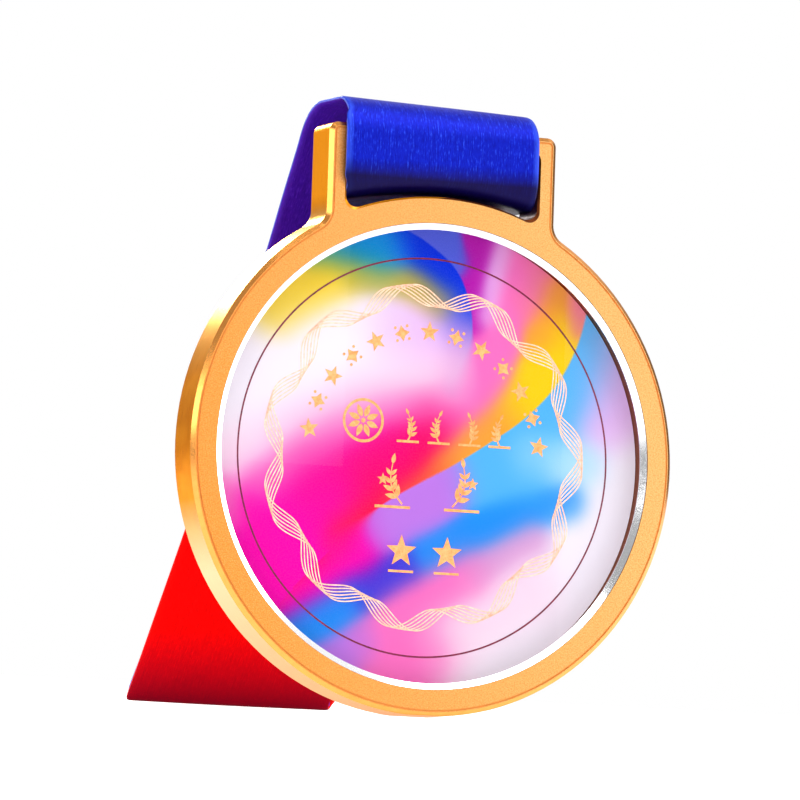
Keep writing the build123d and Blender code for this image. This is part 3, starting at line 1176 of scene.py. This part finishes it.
def neck_seam_threads():
    """The neck seam, at the free end of the last pass of the folded rest."""
    lift = np.array((0.0, leg_out[0], leg_out[1]))
    rows = []
    for below_top in (6.2, 5.4, 3.4, 2.6):
        last_pass = leg_place(HANK_SHIFT, HANK_HIGH - below_top, 10 * LAYER_PITCH)
        base = np.array(last_pass) + lift * THREAD_LIFT
        rows.append((base - THREAD_REACH, base + THREAD_REACH, lift))
    stitch_rows("neck_seam_threads", rows, thread("thread_red", srgb(190, 12, 16)))


tie_band()
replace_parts(seam_threads(), "seam_stitches")
neck_seam_threads()

# ---- camera ----
LENS = 360.0
AZIMUTH = math.radians(22.457)
ELEVATION = math.radians(2.093)
ROLL = math.radians(2.953)
CAMERA_FROM_CENTRE = np.array((-385.47, -920.36, -29.71))
CAMERA_PLACE = Vector((CENTRE + CAMERA_FROM_CENTRE) * MM)
forward = Vector((math.sin(AZIMUTH) * math.cos(ELEVATION),
                  math.cos(AZIMUTH) * math.cos(ELEVATION), math.sin(ELEVATION)))
level = Vector((math.cos(AZIMUTH), -math.sin(AZIMUTH), 0))
above = level.cross(forward)
right = level * math.cos(ROLL) + above * math.sin(ROLL)
up = right.cross(forward)
camera_data = bpy.data.cameras.new("camera")
camera_data.lens = LENS
camera_data.sensor_width = 36.0
camera_data.clip_start = 0.01
camera_data.clip_end = 50.0
camera = bpy.data.objects.new("camera", camera_data)
turn = Matrix((right, up, -forward)).transposed()
camera.matrix_world = Matrix.Translation(CAMERA_PLACE) @ turn.to_4x4()
scene.collection.objects.link(camera)
scene.camera = camera
scene.view_settings.view_transform = "Standard"
scene.view_settings.look = "None"


# ---- floor, world and lights ----
def floor():
    s = Shader("floor_paper")
    grain = s.noise(s.node("TexCoord").outputs["Object"], 60.0, 4.0, 0.6)
    s.set(Base_Color=s.mix(grain, (0.82, 0.82, 0.82, 1), (0.86, 0.86, 0.86, 1)), Roughness=0.9,
          Specular_IOR_Level=0.0, Emission_Color=(1, 1, 1, 1), Emission_Strength=0.55)
    size = 6.0
    corners = [(-size, -size, 0), (size, -size, 0), (size, size, 0), (-size, size, 0)]
    o = add_mesh("floor", corners, [(0, 1, 2, 3)], [s.material], smooth=False)


def world():
    """White as seen, and in reflections darker low down, in front and in one corner."""
    w = bpy.data.worlds.new("studio")
    w.use_nodes = True
    s = NodeTree(w.node_tree)
    direction = s.node("TexCoord").outputs["Generated"]
    x, y, z = s.split(direction)
    to_back = s.spread(y, -0.6, 0.35, 0.42, 0.8)
    to_right = s.spread(x, 0.3, 0.52)
    upwards = s.spread(z, -0.5, 0.15, 0.15, 1.0)
    bright = s.math("MULTIPLY", s.math("MAXIMUM", to_back, to_right), upwards)
    right_behind = s.node("VectorMath", direction, (0.9, 0.43, 0.05), operation="DOT_PRODUCT")
    dim = s.spread(right_behind.outputs["Value"], 0.86, 0.97, 1.0, 0.2)
    bright = s.math("MULTIPLY", bright, dim)
    as_seen = s.node("LightPath").outputs["Is Camera Ray"]
    strength = s.node("Mix", as_seen, None, bright, 1.0).outputs[0]
    s.fill(s.tree.nodes["Background"], Strength=strength, Color=(1, 1, 1, 1))
    scene.world = w


def softbox(name, place_m, aim, width, height, power):
    data = bpy.data.lights.new(name, "AREA")
    data.shape = "RECTANGLE"
    data.size = width
    data.size_y = height
    data.energy = power
    o = bpy.data.objects.new(name, data)
    o.location = place_m
    o.rotation_euler = (Vector(aim) - Vector(place_m)).to_track_quat("-Z", "Z").to_euler()
    o.visible_camera = False
    scene.collection.objects.link(o)


floor()
world()
MEDAL_MIDDLE = tuple(CENTRE * MM)
softbox("overhead", (0.05, -0.35, 0.62), MEDAL_MIDDLE, 0.7, 0.45, 4.6)
softbox("right_side", (0.62, -0.22, 0.16), MEDAL_MIDDLE, 0.4, 0.5, 2.6)
softbox("rim", (0.0, 0.53, 0.25), MEDAL_MIDDLE, 0.14, 0.08, 1.6)
softbox("left_front", (-0.62, -0.42, 0.22), MEDAL_MIDDLE, 0.3, 0.4, 1.6)


def dark_card():
    """A card that the crystal mirrors, so the print's middle shows its full depth."""
    s = Shader("card_black")
    grain = s.noise(s.node("TexCoord").outputs["Object"], 40.0)
    s.set(Base_Color=s.mix(grain, (0.01, 0.01, 0.01, 1), (0.02, 0.02, 0.02, 1)), Roughness=0.9,
          Specular_IOR_Level=0.0)
    away = 0.4  # metres
    corners, faces = [], []
    # Each is (left, right, low, high) of what it darkens on the crystal, in mm.
    for left, right_end, low, high in ((-12, 17.6, -32, 34), (-34, -12, -34, -2)):
        base = len(corners)
        for u, v in ((left, low), (right_end, low), (right_end, high), (left, high)):
            on_crystal = Vector(place([(u, v, CRYSTAL_FRONT)])[0])
            view = (on_crystal - CAMERA_PLACE).normalized()
            corners.append(on_crystal + view.reflect(Vector(W_AXIS)) * away)
        faces.append((base, base + 1, base + 2, base + 3))
    o = add_mesh("dark_card", corners, faces, [s.material], smooth=False)
    o.visible_camera = False
    o.visible_shadow = False
    o.visible_diffuse = False


dark_card()
